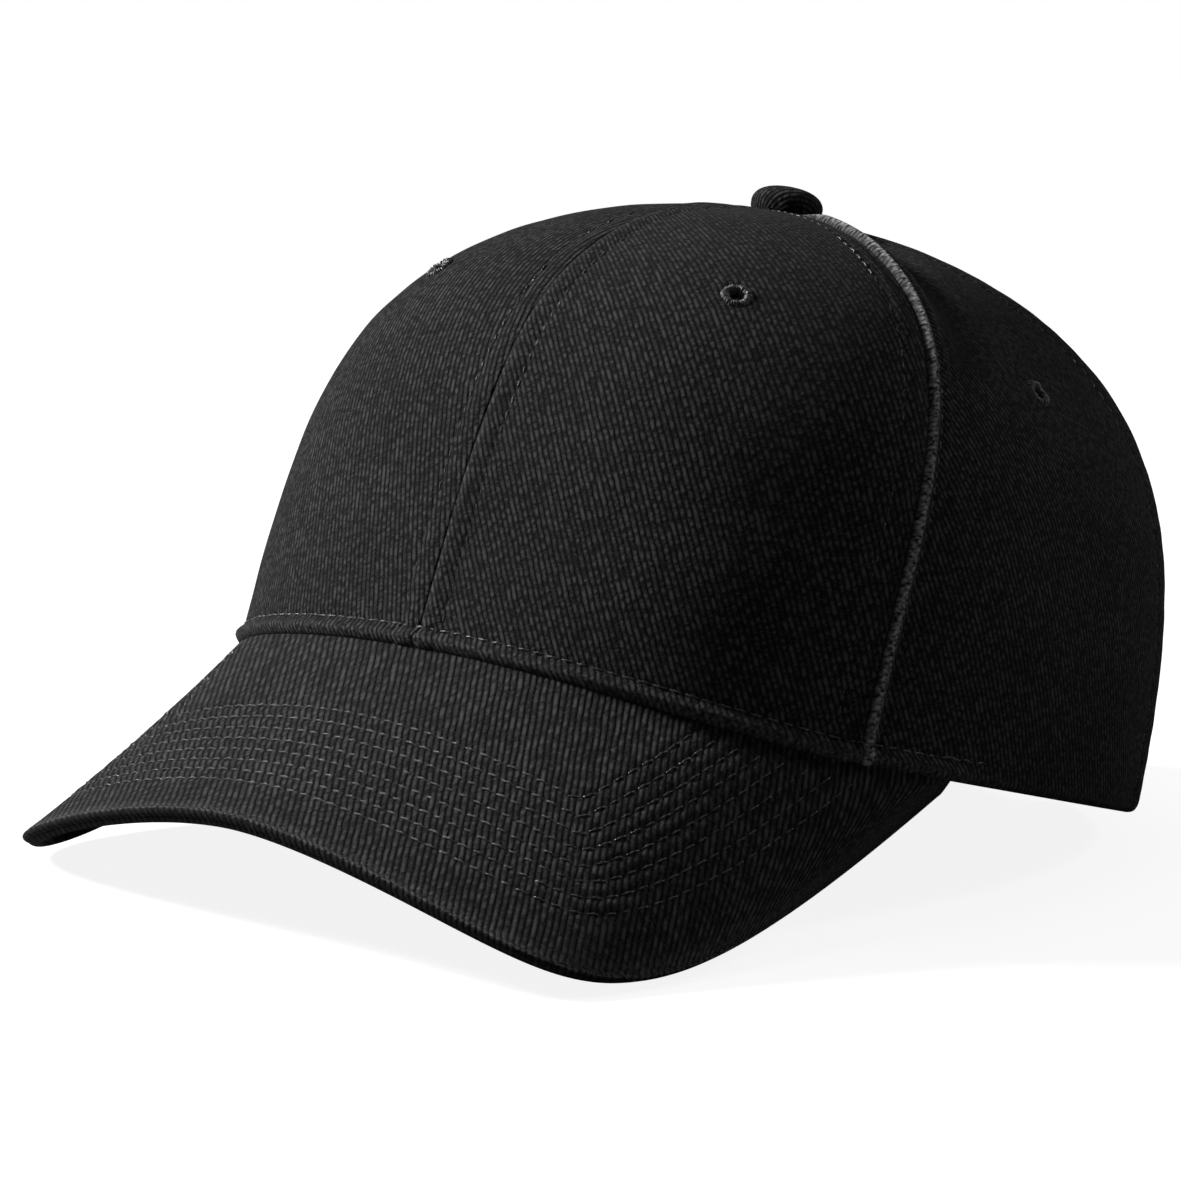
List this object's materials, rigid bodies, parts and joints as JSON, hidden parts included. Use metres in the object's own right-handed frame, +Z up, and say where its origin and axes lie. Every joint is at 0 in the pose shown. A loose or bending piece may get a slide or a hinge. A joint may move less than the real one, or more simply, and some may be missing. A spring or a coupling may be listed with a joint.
{
  "type": "baseball cap",
  "caption": "Structured sewn-panel cap with a curved stitched visor, fabric-covered top button and an adjustable back strap with a flip-lock buckle.",
  "frame": {"origin": "on the ground under the middle of the cap as it stands on its visor and back hem", "axes": "+Z up, visor towards -Y, the wearer's left towards +X"},
  "size_m": [0.18, 0.2418, 0.1346],
  "materials": {
    "twill": "brushed heavy cotton twill",
    "buckram": "stiff open weave",
    "seam_tape": "woven tape",
    "thread": "satin embroidery thread",
    "sweatband": "twill sweatband",
    "foam": "thin foam",
    "label": "blank woven satin",
    "board": "moulded board",
    "steel": "brushed, dark plated"
  },
  "bodies": {
    "crown": {"arch_tape": "seam_tape", "back_eyelet_left": "thread", "back_eyelet_right": "thread", "back_panel_left": "twill", "back_panel_right": "twill", "back_seam_tape": "seam_tape", "buckle_frame": "steel", "buckle_pin": "steel", "buckle_tab": "twill", "button_cover": "twill", "button_plate": "steel", "button_rivet": "steel", "button_shell": "steel", "button_washer": "steel", "front_buckram_left": "buckram", "front_buckram_right": "buckram", "front_eyelet_left": "thread", "front_eyelet_right": "thread", "front_panel_left": "twill", "front_panel_right": "twill", "front_seam_tape": "seam_tape", "rear_seam_tape_left": "seam_tape", "rear_seam_tape_right": "seam_tape", "side_eyelet_left": "thread", "side_eyelet_right": "thread", "side_panel_left": "twill", "side_panel_right": "twill", "side_seam_tape_left": "seam_tape", "side_seam_tape_right": "seam_tape", "size_label": "label", "sweatband": "sweatband", "sweatband_pad": "foam", "visor_board": "board", "visor_top_cover": "twill", "visor_under_cover": "twill"},
    "strap": {"closure_strap": "twill"},
    "lever": {"buckle_lever": "steel"}
  },
  "joints": [
    {"name": "strap_travel", "type": "hinge", "parent": "crown", "child": "strap", "pos_m": [0, 0.01016, 0.03765], "axis": [0, 0.2358, 0.9718], "range_deg": [-5.4, 5.4]},
    {"name": "lever_hinge", "type": "hinge", "parent": "crown", "child": "lever", "pos_m": [-0.03234, 0.10808, 0.01389], "axis": [0, 0.2358, 0.9718], "range_deg": [0, 115]}
  ]
}
